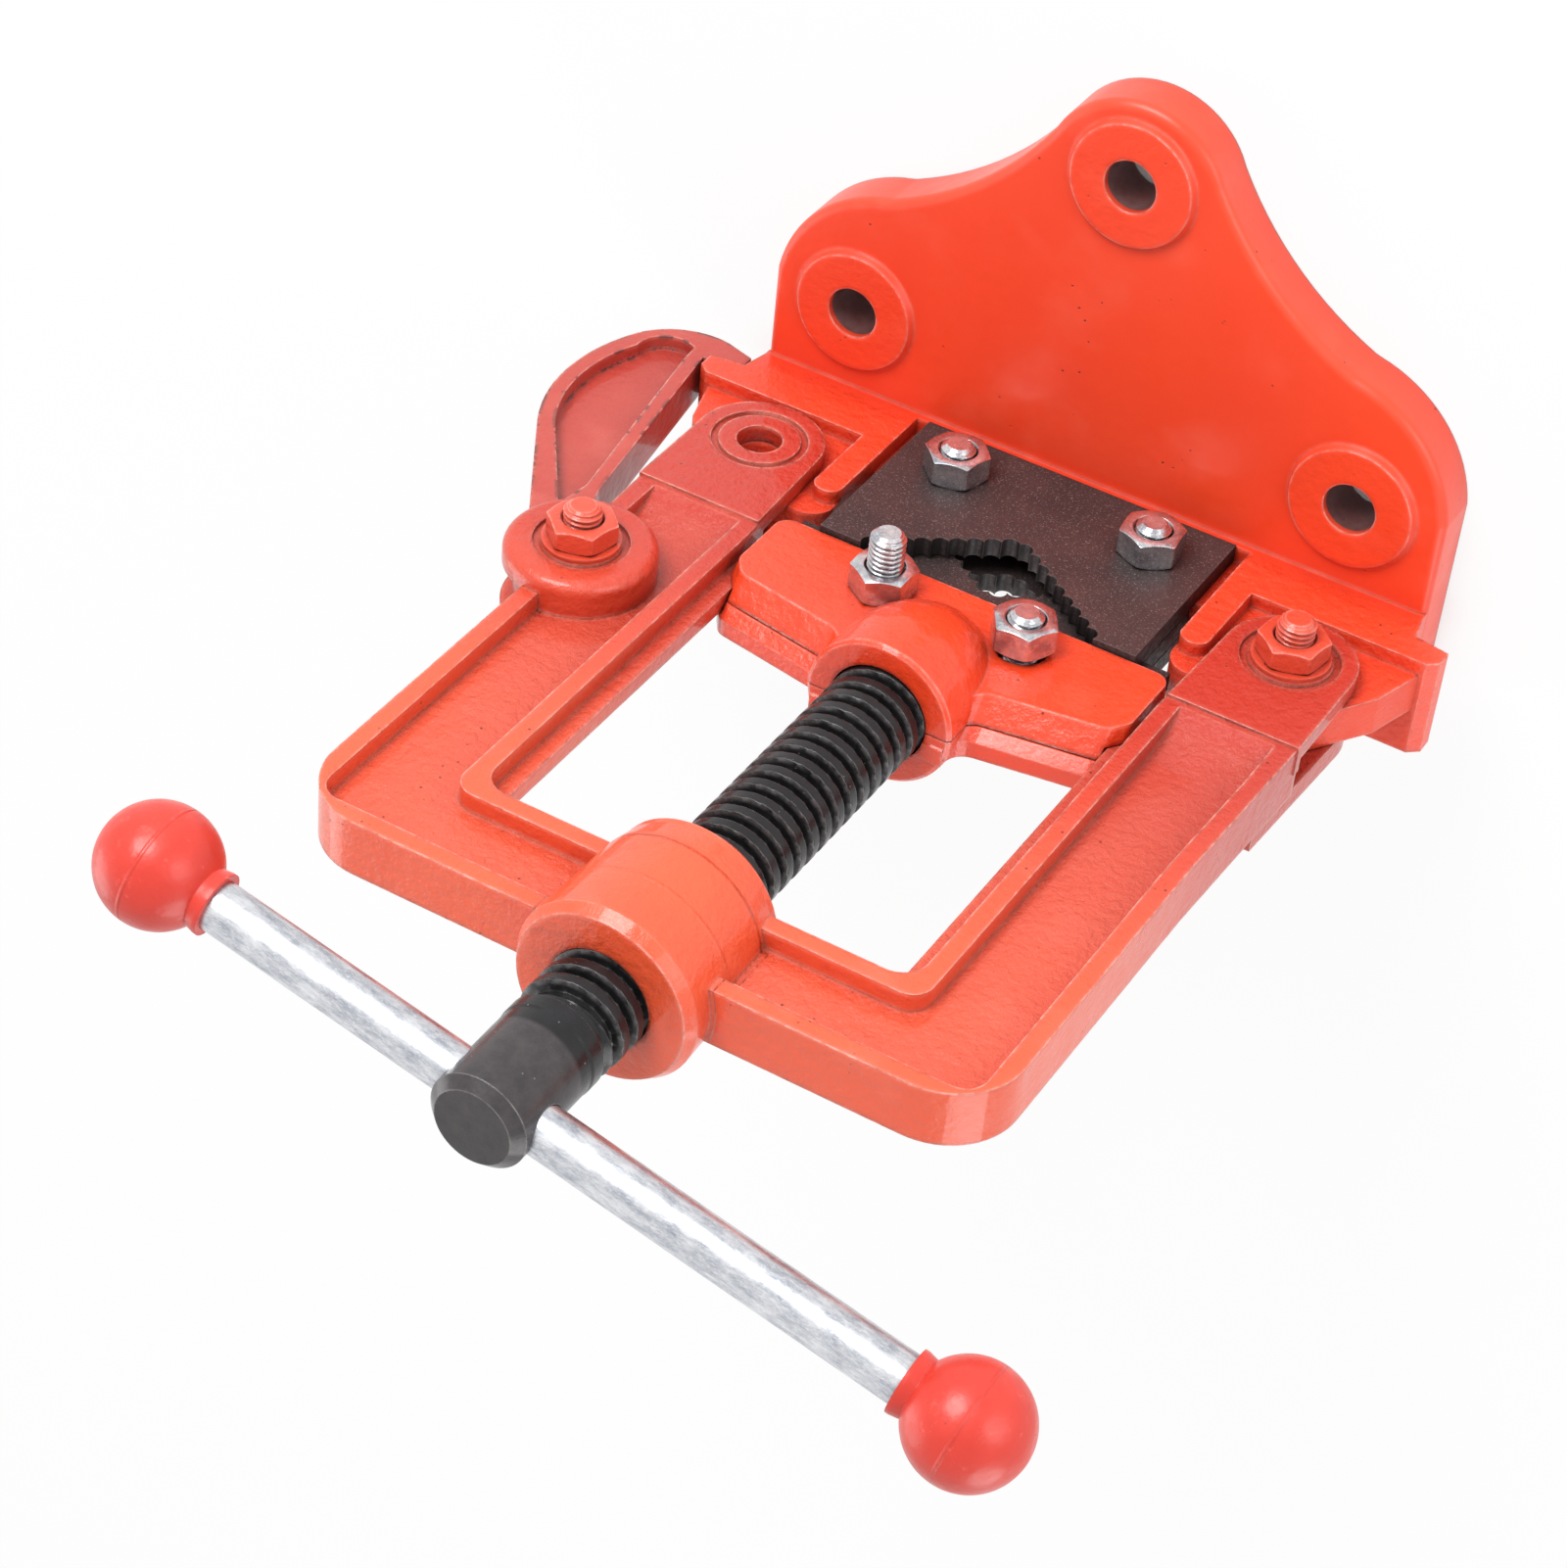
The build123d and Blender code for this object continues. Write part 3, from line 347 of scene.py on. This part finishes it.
# Materials
def yoke_marks(m, color):
    """The yoke's change of colour, its rough web and ears, and the mould rings round its hub."""
    x, y, z = m.place()
    near_ears = m.span(z, *EARS_FADE, 0.0, 1.0, True)
    color = m.tint(color, near_ears, 0.9, (0.49, 0.030, 0.017))
    web = m.times(m.span(m.absolute(y), *WEB_FACE), m.span(m.absolute(m.facing()[1]), 0.7, 0.95))
    color = m.tint(color, web, 0.40, (0.58, 0.088, 0.055))
    skin = m.math("MAXIMUM", m.span(web, 0, 1, 0.5, 1.0), m.times(near_ears, 0.9))
    hub = m.times(m.span(z, *HUB_START), m.span(m.radius(x, y), *HUB_WITHIN))
    step = m.span(z, *HUB_STEP, 0.0, 1.0, True)
    line = m.span(m.absolute(m.math("SUBTRACT", z, HUB_LINE)), *HUB_LINE_WIDE, 1.0, 0.0)
    return color, skin, m.times(hub, m.math("ADD", step, m.times(line, 0.3)))


def base_marks(m, color):
    """The base's smooth flange, its rough shoulders and the walls of its bolt holes, unpainted metal
    darkened as painted shade.
    """
    x, y, z = m.place()
    in_flange = m.span(z, *FLANGE_TOP)
    # The bolt holes' walls go dark grey: unpainted metal darkened as painted shade
    hole_wall_shade = m.mix(m.span(m.noise(240, 4, 0.7), 0.35, 0.7), (0.05, 0.044, 0.043), (0.11, 0.10, 0.10))
    for hole_x, hole_y in FLANGE_HOLES:
        far = m.radius(m.math("SUBTRACT", x, hole_x), m.math("SUBTRACT", y, hole_y))
        color = m.mix(m.times(m.span(far, *HOLE_WALL), in_flange), color, hole_wall_shade)
    return color, m.span(z, *FLANGE_SKIN, 0.08, 1.0)


def enamel(name, body, deep, light, gloss, soft=0.0013, chips=0.0, kind=""):
    """Enamel over sand-cast iron: body colour, its deep and light shades, and the edges' softness."""
    m = Paint(name)
    color = m.tint(body, m.span(m.noise(22, 4, 0.6), 0.35, 0.68), 0.6, deep)
    color = m.tint(color, m.span(m.noise(60, 3, 0.5), 0.55, 0.8), 0.22, light)
    skin, veil, rounded = 0.45, 0.09, m.bevel(soft)
    normal = rounded
    if kind == "yoke":
        color, skin, rings = yoke_marks(m, color)
        normal = m.bump(rings, 0.0006, normal)
    if kind == "base":
        color, skin = base_marks(m, color)
        veil = 0.3
    # Corners and undercuts are darker with painted shade, and the tightest ones darker still with painted
    # shade mixed with grime
    shade = m.closed(0.011, 0.35, 0.88)
    color = m.tint(color, shade, 0.44, scaled(deep, 0.46, 0.36, 0.34))
    crease_shade_and_grime = m.times(m.closed(0.0026, 0.25, 0.62), m.span(m.noise(190, 4, 0.65), 0.32, 0.6, 0.35, 1.0))
    color = m.tint(color, crease_shade_and_grime, 0.7, (0.075, 0.016, 0.012))
    edge = m.edges(rounded, 0.985, 0.93)
    # Edges lighter in broken patches: a painted highlight
    edge_highlight = m.span(m.noise(130, 3, 0.6), 0.35, 0.7, 0.08, 0.48)
    color = m.mix(m.times(edge, edge_highlight), color, light)
    # Thin broken lines of painted highlight along the sharpest edges, kept out of the painted shade in the
    # corners
    broken = m.span(m.noise(420, 3, 0.7), 0.40, 0.56, 0.25, 1.0)
    glint = m.times(m.edges(m.bevel(0.0008), 0.965, 0.84), broken)
    glint = m.times(glint, m.span(shade, 0.25, 0.0))
    color = m.tint(color, glint, 0.85, (0.98, 0.60, 0.52))
    # Pits and specks of grit under the paint
    pits = m.times(m.dots(330, 0.05, 0.11), m.span(m.noise(75, 2, 0.5), 0.56, 0.62))
    color = m.tint(color, pits, 0.85, scaled(body, 0.14, 0.14, 0.14))
    if chips:
        spots = m.span(m.noise(260, 6, 0.65), 0.52, 0.56)
        zone = m.span(m.noise(34, 2, 0.5), 0.48, 0.54)
        chip = m.math("MINIMUM", m.times(m.times(spots, zone), m.times(edge, chips)), 1.0)
        color = m.mix(chip, color, (0.055, 0.05, 0.048))
    rough = m.span(m.noise(140, 4, 0.6), 0.3, 0.75, gloss - 0.04, gloss + 0.12)
    normal = m.bump(m.times(m.noise(105, 2, 0.5), skin), 0.0010, normal)
    normal = m.bump(m.times(m.noise(430, 4, 0.62), skin), 0.0011, normal)
    normal = m.bump(m.math("SUBTRACT", 1.0, pits), 0.0003, normal, 0.9)
    return m.finish(color, rough, normal, coat=0.5, coat_rough=veil, gleam=0.36)


def dark_plate(name):
    """Oxidised steel plate with brighter ground lands, and painted shade that turns its tooth sides and
    corners near black.
    """
    m = Paint(name)
    blot = m.span(m.noise(55, 5, 0.65), 0.35, 0.7)
    color = m.mix(blot, (0.050, 0.037, 0.037), (0.088, 0.052, 0.049))
    speck = m.span(m.noise(2300, 2, 0.7), 0.58, 0.70)
    color = m.tint(color, speck, 0.65, (0.34, 0.29, 0.28))
    color = m.tint(color, m.dots(900, 0.08, 0.2), 0.45, (0.02, 0.016, 0.016))
    facing = m.facing()
    # Faces that don't look to front or back go near black: painted shade on the tooth sides and ends
    side = m.span(m.absolute(facing[1]), 0.7, 0.3)
    color = m.tint(color, side, 0.85, (0.022, 0.019, 0.02))
    land = m.times(side, m.span(m.absolute(facing[2]), 0.93, 0.99))
    spark = m.span(m.noise(900, 3, 0.7), 0.42, 0.62)
    color = m.mix(m.times(land, m.span(spark, 0, 1, 0.2, 0.6)), color, (0.16, 0.135, 0.135))
    color = m.tint(color, m.edges(m.bevel(0.0005), 0.98, 0.9), 0.45, (0.16, 0.125, 0.12))
    # Painted shade, near black, in corners and under overhangs
    color = m.tint(color, m.closed(0.009, 0.3, 0.85), 0.8, (0.008, 0.007, 0.007))
    rough = m.span(m.noise(700, 3, 0.7), 0.3, 0.7, 0.36, 0.62)
    normal = m.bump(m.noise(1100, 3, 0.7), 0.00008, m.bevel(0.00035))
    normal = m.bump(m.noise(180, 3, 0.5), 0.00015, normal)
    return m.finish(color, rough, normal, metal=0.4, gleam=0.35)


def black_oxide(name):
    """Blackened steel screw: rubbed crests with painted highlights along their edges, painted shade in its
    black roots, and a paler scaly head.
    """
    m = Paint(name)
    x, y, z = m.place()
    out = m.radius(x, y)
    blot = m.span(m.noise(90, 5, 0.6), 0.4, 0.75)
    color = m.mix(blot, (0.009, 0.0085, 0.0095), (0.018, 0.017, 0.019))
    crest = m.span(out, *CREST_INNER)
    rub = m.times(m.times(crest, m.span(out, *CREST_OUTER)), m.span(z, *RUB_END))
    scuff = m.span(m.noise(420, 4, 0.7), 0.34, 0.60)
    color = m.tint(color, m.times(rub, scuff), 0.36, (0.22, 0.205, 0.205))
    # Thin bright lines of painted highlight along each crest's edges
    crest_glint = m.times(m.edges(m.bevel(0.00025), 0.99, 0.95), crest)
    crest_glint = m.times(crest_glint, m.span(m.noise(500, 3, 0.7), 0.38, 0.58, 0.15, 1.0))
    color = m.tint(color, crest_glint, 0.55, (0.30, 0.28, 0.28))
    head = m.span(z, *HEAD_START)
    scale = m.span(m.noise(260, 5, 0.7), 0.35, 0.7)
    color = m.mix(head, color, m.mix(scale, (0.040, 0.036, 0.038), (0.066, 0.056, 0.057)))
    dust = m.times(m.dots(420, 0.04, 0.09), m.span(m.noise(160, 2, 0.5), 0.5, 0.6))
    color = m.tint(color, dust, 0.5, (0.4, 0.39, 0.38))
    # Painted shade, near black, in the thread's roots and other tight hollows
    color = m.tint(color, m.closed(0.004, 0.3, 0.8), 0.7, (0.004, 0.004, 0.004))
    rim = m.times(m.edges(m.bevel(0.0004), 0.985, 0.93), m.span(m.noise(300, 4, 0.7), 0.35, 0.6, 0.3, 0.9))
    color = m.mix(m.times(rim, head), color, (0.30, 0.28, 0.28))
    rough = m.span(m.noise(240, 4, 0.6), 0.3, 0.7, 0.2, 0.4)
    normal = m.bump(m.noise(800, 3, 0.6), 0.00005, m.bevel(0.0003))
    return m.finish(color, rough, normal, metal=0.1, coat=0.1, coat_rough=0.12, gleam=0.32)


def zinc(name, tint, grain, satin=0.0, drawn=False):
    """Bright zinc plating with its spangle, drawn out along the tommy bar where drawn is true."""
    m = Paint(name)
    source = m.stretch(3.2, BAR_TURN) if drawn else m.coord
    spangle = m.span(m.noise(grain, 5, 0.7, source), 0.36, 0.66)
    color = m.mix(spangle, tint, scaled(tint, 0.47, 0.49, 0.54))
    flakes = m.span(m.noise(grain * 7, 3, 0.7, source), 0.50, 0.70)
    color = m.tint(color, flakes, 0.6, (0.90, 0.905, 0.92))
    soot = m.span(m.noise(420, 4, 0.7, source), 0.66, 0.80)
    color = m.tint(color, soot, 0.45, (0.13, 0.13, 0.14))
    # Painted shade in corners and under overhangs
    color = m.tint(color, m.closed(0.0022, 0.3, 0.75), 0.75, (0.05, 0.048, 0.05))
    color = m.tint(color, m.edges(m.bevel(0.0003), 0.98, 0.9), 0.45, (0.88, 0.88, 0.89))
    rough = m.span(m.noise(520, 4, 0.6, source), 0.3, 0.75, 0.14 + satin, 0.30 + satin)
    normal = m.bump(m.noise(900, 3, 0.5, source), 0.000012, m.bevel(0.00025))
    normal = m.bump(m.noise(120, 2, 0.5, source), 0.00010, normal)
    return m.finish(color, rough, normal, metal=0.95)


def knob_red(name):
    """Moulded red plastic with a scuffed skin and the seam of the mould round each ball."""
    m = Paint(name)
    color = m.mix(m.span(m.noise(70, 4, 0.6), 0.35, 0.7), (0.665, 0.047, 0.029), (0.59, 0.037, 0.023))
    scuff = m.span(m.noise(330, 5, 0.7), 0.6, 0.72)
    color = m.tint(color, scuff, 0.5, (0.86, 0.16, 0.13))
    dirt = m.times(m.dots(360, 0.04, 0.09), m.span(m.noise(110, 2, 0.5), 0.55, 0.62))
    color = m.tint(color, dirt, 0.6, (0.12, 0.02, 0.02))
    rough = m.span(m.noise(260, 4, 0.6), 0.3, 0.7, 0.26, 0.46)
    normal = m.bump(m.noise(170, 3, 0.5), 0.00028, m.bevel(0.0004))
    normal = m.bump(m.noise(600, 4, 0.6), 0.00006, normal)
    x, y, z = m.place()
    along = m.math("ADD", m.times(x, BAR_WAY.x), m.times(y, BAR_WAY.y))
    off = m.math("MINIMUM", m.absolute(m.math("SUBTRACT", along, BALL_NEAR * MM)),
                 m.absolute(m.math("ADD", along, BALL_FAR * MM)))
    normal = m.bump(m.span(off, *KNOB_SEAM_WIDE, 1.0, 0.0), 0.0002, normal)
    return m.finish(color, rough, normal, coat=0.1, coat_rough=0.12, gleam=0.4)


# Meshes; every point is in millimetres and turned to metres in add_piece
def add_piece(name, points, faces, mat, node, body, sharp):
    """A new piece in a CAD node's place, smooth but for the edges sharper than some degrees."""
    mesh = bpy.data.meshes.new(name)
    mesh.from_pydata([tuple(c * MM for c in p) for p in points], [], faces)
    mesh.validate()
    mesh.update()
    mesh.shade_smooth()
    mesh.set_sharp_from_angle(angle=math.radians(sharp))
    obj = bpy.data.objects.new(name, mesh)
    bpy.context.collection.objects.link(obj)
    mesh.materials.append(mat)
    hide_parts(node)
    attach(obj, body)


def join(parts):
    """Several pairs of points and faces as one."""
    points, faces = [], []
    for more_points, more_faces in parts:
        base = len(points)
        points += more_points
        faces += [tuple(i + base for i in face) for face in more_faces]
    return points, faces


def circle_angles(around):
    return [2 * math.pi * k / around for k in range(around)]


def thread_radius(turns, crest, root, flat, flank):
    """Radius of a rounded thread at a share of one pitch, 0 at the middle of the crest."""
    t = abs((turns + 0.5) % 1.0 - 0.5) * 2.0
    t = min(max((t - flat) / flank, 0.0), 1.0)
    t = t * t * (3 - 2 * t)
    return crest + (root - crest) * t


def threaded_grid(low, high, pitch, crest, root, flat, flank, around, per_pitch, fade):
    """Rows of rings from low to high whose radius follows a right-hand helix and fades at both ends."""
    rows = int((high - low) / pitch * per_pitch) + 1
    rings = []
    for i in range(rows + 1):
        z = low + (high - low) * i / rows
        ease = min(max(min(z - low, high - z) / fade, 0.0), 1.0)
        ring = []
        for k, a in enumerate(circle_angles(around)):
            r = thread_radius(z / pitch - k / around, crest, root, flat, flank)
            ring.append((root + (r - root) * ease, a, z))
        rings.append(ring)
    return rings


def rings_to_mesh(rings, to_point, capped=True):
    """Quads between rings of (radius, angle, height), with both ends closed where capped."""
    points = [to_point(*q) for ring in rings for q in ring]
    n = len(rings[0])
    faces = []
    for i in range(len(rings) - 1):
        for k in range(n):
            a, b = i * n + k, i * n + (k + 1) % n
            faces.append((a, b, b + n, a + n))
    if capped:
        faces.append(tuple(reversed(range(n))))
        faces.append(tuple(range((len(rings) - 1) * n, len(rings) * n)))
    return points, faces


def add_lead_screw(mat):
    """The CAD head and journal are kept, and the plain shank and its run-out become a thread."""
    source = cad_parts["lead_screw"].data
    low, high = THREAD_LOW - SHANK_SLACK, THREAD_HIGH + SHANK_SLACK
    points = [tuple(c / MM for c in v.co) for v in source.vertices]
    faces = []
    for f in source.polygons:
        heights = [points[i][2] for i in f.vertices]
        if min(heights) <= low or max(heights) >= high:
            faces.append(tuple(f.vertices))
    rings = threaded_grid(THREAD_LOW - SINK_LOW, THREAD_HIGH + SINK_HIGH, SCREW_PITCH,
                          SCREW_RAD - CREST_CLEAR, SCREW_ROOT,
                          flat=0.44, flank=0.30, around=96, per_pitch=18, fade=2.0)
    thread = rings_to_mesh(rings, lambda r, a, z: (r * math.cos(a), r * math.sin(a), z))
    points, faces = join([(points, faces), thread])
    add_piece("threaded_screw", points, faces, mat, "lead_screw", "screw", SHARP_THREAD)


def hex_solid(x, z, y_in, y_out, flat, bore, turn):
    """A hexagon nut along Y, or a bolt's head where bore is 0, its corners turned off on a cone."""
    corner_rad = flat / 2 * CORNER_SHARE
    sign = 1 if y_out > y_in else -1
    high = abs(y_out - y_in)
    angles = circle_angles(HEX_AROUND)

    def circle(r, h):
        return [(r, a, h) for a in angles]

    def cone_ring(share, h, rise):
        """From the cone's inner edge at a share of 0 to the hexagon's sides at 1."""
        ring = []
        for a in angles:
            side = flat / 2 / math.cos((a - turn) % (math.pi / 3) - math.pi / 6)
            r = corner_rad + (side - corner_rad) * share
            ring.append((r, a, h + rise * max(0.0, r - corner_rad) * CONE_SLOPE))
        return ring

    shares = [s / CONE_STEPS for s in range(1, CONE_STEPS + 1)]
    if bore:
        rings = [circle(bore, BORE_CHAMFER), circle(bore + BORE_CHAMFER, 0.0), circle(corner_rad, 0.0)]
        rings += [cone_ring(s, 0.0, 1) for s in shares]
    else:
        rings = [circle(CENTRE_HOLE, 0.0), cone_ring(1.0, 0.0, 0)]
    rings += [cone_ring(s, high, -1) for s in reversed(shares)]
    rings.append(circle(corner_rad, high))
    if bore:
        rings += [circle(bore + BORE_CHAMFER, high), circle(bore, high - BORE_CHAMFER), rings[0]]
    else:
        rings += [circle(corner_rad * 0.8, high), circle(CENTRE_HOLE, high)]

    def to_point(r, a, h):
        return (x + r * math.cos(a), y_in + sign * h, z + r * math.sin(a))

    points, faces = rings_to_mesh(rings, to_point, capped=not bore)
    if sign > 0:
        faces = [tuple(reversed(f)) for f in faces]
    return points, faces


def threaded_end(x, z, y_rear, y_front, rad):
    """A bolt shank along Y, threaded from the rear seat to a chamfered flat end at the front."""
    length = y_rear - y_front
    root = rad - BOLT_DEPTH
    rings = threaded_grid(0.0, length - BOLT_TIP, BOLT_PITCH, rad - CREST_CLEAR, root,
                          flat=0.12, flank=0.86, around=40, per_pitch=8, fade=0.7)
    for r, h in ((root - 0.1, length - BOLT_TIP), (root - 0.6, length)):
        rings.append([(r, q[1], h) for q in rings[-1]])
    return rings_to_mesh(rings, lambda r, a, h: (x + r * math.cos(a), y_rear - h, z - r * math.sin(a)))


def add_bolts(name, node, body, mat, size, rows):
    """Each row is x, z, the head's seat at +Y, the thread's end at -Y, and the head's turn."""
    rad, flat, _ = size
    parts = []
    for x, z, seat, end, turn in rows:
        parts.append(hex_solid(x, z, seat, seat + HEAD_HIGH, flat, 0, turn))
        parts.append(threaded_end(x, z, seat, -end, rad))
    add_piece(name, *join(parts), mat, node, body, SHARP_HEX)


def add_nuts(name, node, body, mat, size, rows):
    """Each row is x, z, the seat at -Y, and the nut's turn."""
    rad, flat, high = size
    parts = [hex_solid(x, z, -seat, -(seat + high), flat, rad + SLACK, turn) for x, z, seat, turn in rows]
    add_piece(name, *join(parts), mat, node, body, SHARP_HEX)


def add_fasteners(metal, paint):
    """Bolts with real threads and nuts with turned corners, in the places of the plain solids."""
    end = FIXED_SEAT + FIXED_SHANK
    add_bolts("threaded_fixed_bolts", "fixed_jaw_bolts", "base", metal, ZINC_SIZE,
              [(FIXED_X, FIXED_Z, FIXED_SEAT, end, 0.1), (-FIXED_X, FIXED_Z, FIXED_SEAT, end, 0.4)])
    add_nuts("turned_fixed_nuts", "fixed_jaw_nuts", "base", metal, ZINC_SIZE,
             [(FIXED_X, FIXED_Z, FIXED_SEAT, 0.25), (-FIXED_X, FIXED_Z, FIXED_SEAT, 0.62)])
    # The bolt at +X stands further out, and the nut at -X stands clear of the casting
    add_bolts("threaded_moving_bolts", "moving_jaw_bolts", "moving_jaw", metal, ZINC_SIZE,
              [(MOVING_X, MOVING_Z, MOVING_REAR, MOVING_SEAT + LONG_SHANK, 0.2),
               (-MOVING_X, MOVING_Z, MOVING_REAR, MOVING_SEAT + SHORT_SHANK, 0.7)])
    add_nuts("turned_moving_nuts", "moving_jaw_nuts", "moving_jaw", metal, ZINC_SIZE,
             [(MOVING_X, MOVING_Z, MOVING_SEAT, 0.45),
              (-MOVING_X, MOVING_Z, MOVING_SEAT + NUT_OFF_SEAT, 0.05)])
    add_bolts("threaded_hinge_bolt", "hinge_bolt", "yoke", paint, PAINTED_SIZE,
              [(-PIVOT_X, PIVOT_Z, HINGE_REAR, HINGE_SEAT + HINGE_SHANK, 0.3)])
    add_nuts("turned_hinge_nut", "hinge_nut", "yoke", paint, PAINTED_SIZE,
             [(-PIVOT_X, PIVOT_Z, HINGE_SEAT, 0.35)])
    add_bolts("threaded_latch_bolt", "latch_bolt", "yoke", paint, PAINTED_SIZE,
              [(LATCH_X, LATCH_Z, LATCH_SEAT, LATCH_SEAT + LATCH_SHANK, 0.3)])
    add_nuts("turned_latch_nut", "latch_nut", "yoke", paint, PAINTED_SIZE,
             [(LATCH_X, LATCH_Z, LATCH_SEAT, 0.3)])


def dress(mat, *nodes):
    """Gives CAD nodes their material and leaves their meshes as they are."""
    for node in nodes:
        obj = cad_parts[node]
        if not obj.material_slots:
            obj.data.materials.append(None)
        for slot in obj.material_slots:
            slot.link = "OBJECT"
            slot.material = mat


add_camera()
add_lights()
add_world()
add_floor()

bright = enamel("bright_enamel", (0.86, 0.062, 0.016), (0.80, 0.048, 0.014), (0.92, 0.17, 0.10),
                0.42, 0.0016, kind="base")
jaw_red = enamel("jaw_enamel", (0.84, 0.066, 0.018), (0.78, 0.050, 0.014), (0.92, 0.19, 0.12), 0.22)
salmon = enamel("yoke_enamel", (0.82, 0.105, 0.036), (0.74, 0.080, 0.030), (0.92, 0.25, 0.17),
                0.30, 0.0018, kind="yoke")
nut_paint = enamel("nut_enamel", (0.74, 0.078, 0.034), (0.66, 0.060, 0.028), (0.90, 0.24, 0.16),
                   0.28, 0.0005)
rose = enamel("latch_enamel", (0.50, 0.060, 0.040), (0.45, 0.042, 0.030), (0.84, 0.20, 0.15),
              0.36, 0.0016, chips=2.4)
bright_zinc = zinc("bright_zinc", (0.70, 0.705, 0.715), 160)
drawn_zinc = zinc("drawn_zinc", (0.74, 0.75, 0.775), 560, 0.12, drawn=True)

dress(bright, "base_casting")
dress(jaw_red, "moving_jaw_casting", "moving_jaw_rear")
dress(salmon, "yoke_frame")
dress(rose, "latch_hook")
dress(nut_paint, "hinge_washers", "latch_washers")
dress(dark_plate("oxidised_plate"), "front_fixed_jaw", "rear_fixed_jaw", "moving_jaw_plate")
dress(bright_zinc, "thrust_washer")
dress(drawn_zinc, "tommy_bar")
dress(knob_red("moulded_red"), "left_knob", "right_knob")

add_lead_screw(black_oxide("black_screw"))
add_fasteners(bright_zinc, nut_paint)

bpy.context.scene.view_settings.view_transform = "Standard"

bpy.context.view_layer.update()
